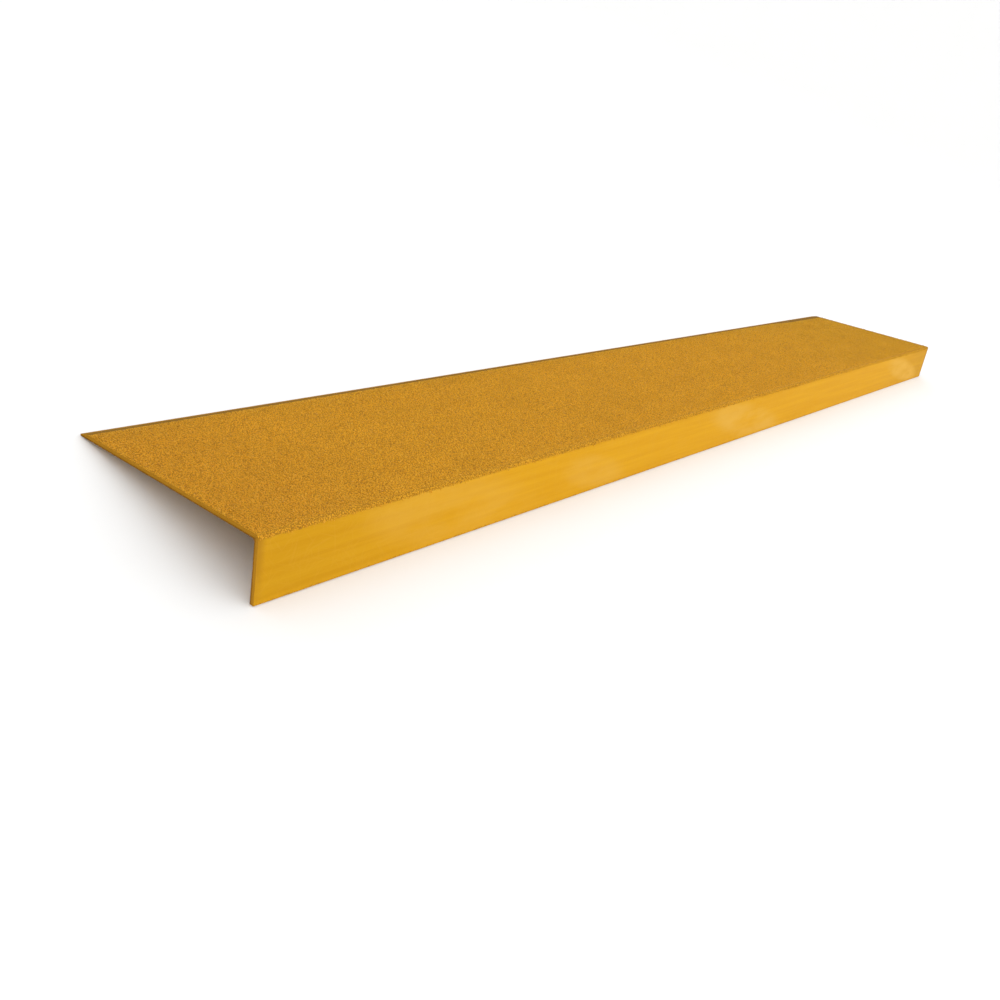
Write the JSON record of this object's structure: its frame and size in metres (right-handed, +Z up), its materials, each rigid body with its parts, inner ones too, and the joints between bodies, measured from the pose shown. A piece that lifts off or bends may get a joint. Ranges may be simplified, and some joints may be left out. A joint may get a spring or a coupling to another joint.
{
  "type": "anti-slip stair nosing",
  "caption": "Long L-shaped glass-fibre step cover with a gritted tread, rounded nose, short plain riser and bevelled back edge; bonds over the front edge of a step.",
  "frame": {"origin": "on the floor, under the middle of the nosing's outline", "axes": "+X along the nosing, +Y from the nose to the tread's back edge, +Z up; the tread leans back as the nosing lies on its foot and its back edge"},
  "size_m": [1.5, 0.231, 0.0539],
  "materials": {
    "grp": "pigmented glass-reinforced plastic, gritted on the tread"
  },
  "bodies": {
    "root": {"nosing": "grp"}
  },
  "joints": []
}
